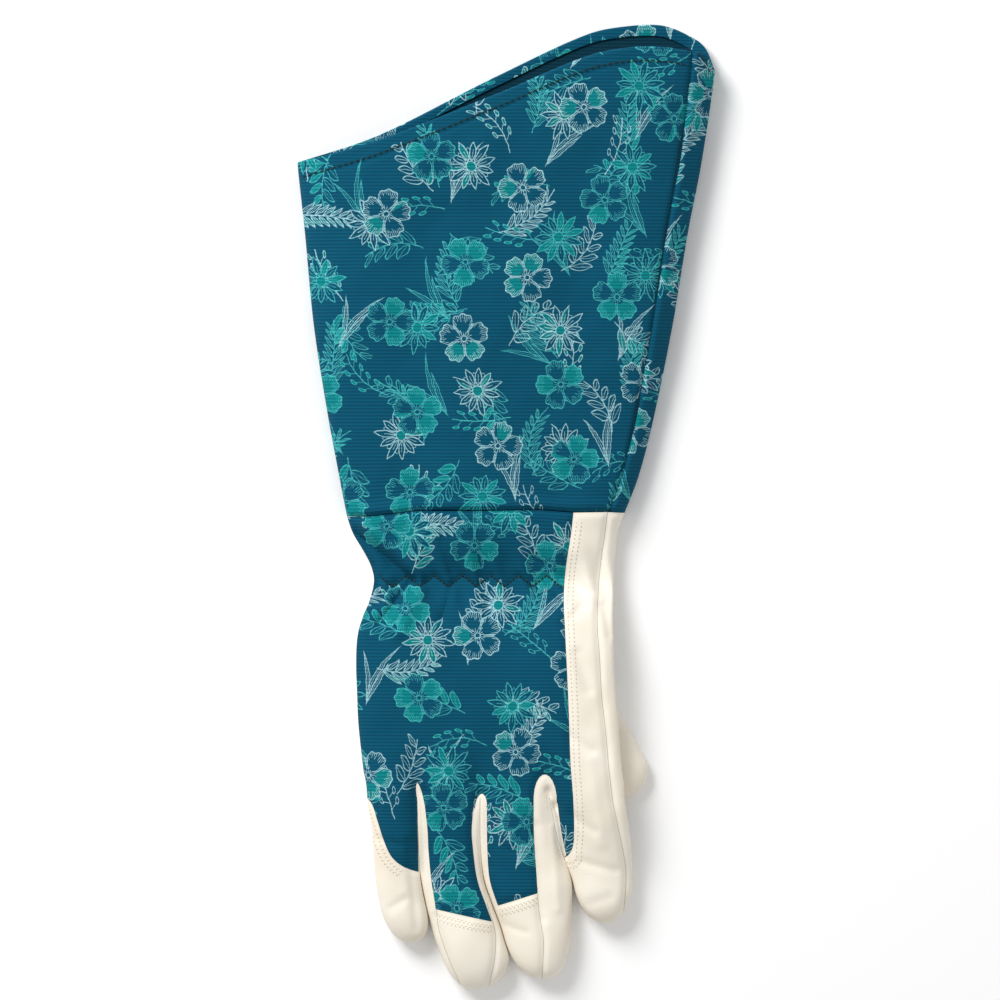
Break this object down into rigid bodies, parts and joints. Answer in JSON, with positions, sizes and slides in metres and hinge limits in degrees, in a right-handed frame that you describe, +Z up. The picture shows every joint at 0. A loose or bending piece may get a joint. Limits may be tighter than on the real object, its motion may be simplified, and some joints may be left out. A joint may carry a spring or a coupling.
{
  "type": "rose pruning gauntlet",
  "caption": "Right-hand gardening gauntlet with a long flared printed fabric cuff, printed back and pale leather palm, finger caps and thumb, lying palm down, thumb tucked under.",
  "frame": {"origin": "middle of the glove's bounding box, on the surface that it lies on", "axes": "+Z up from that surface, with the back of the hand up; +Y along the glove towards the mouth of the cuff, -Y towards the fingertips; +X towards the thumb side"},
  "size_m": [0.1772, 0.4096, 0.027],
  "materials": {
    "printed_fabric": "ribbed woven cloth printed with a pale plant pattern on petrol blue, matt",
    "leather": "cream grain synthetic leather, low sheen"
  },
  "bodies": {
    "root": {"cuff_upper": "printed_fabric", "cuff_under": "printed_fabric", "hand_back": "printed_fabric", "palm": "leather", "index_cover": "leather", "little_cap": "leather", "ring_cap": "leather", "middle_cap": "leather", "band_little_ring": "leather", "band_ring_middle": "leather", "band_middle_index": "leather", "thumb": "leather"}
  },
  "joints": []
}
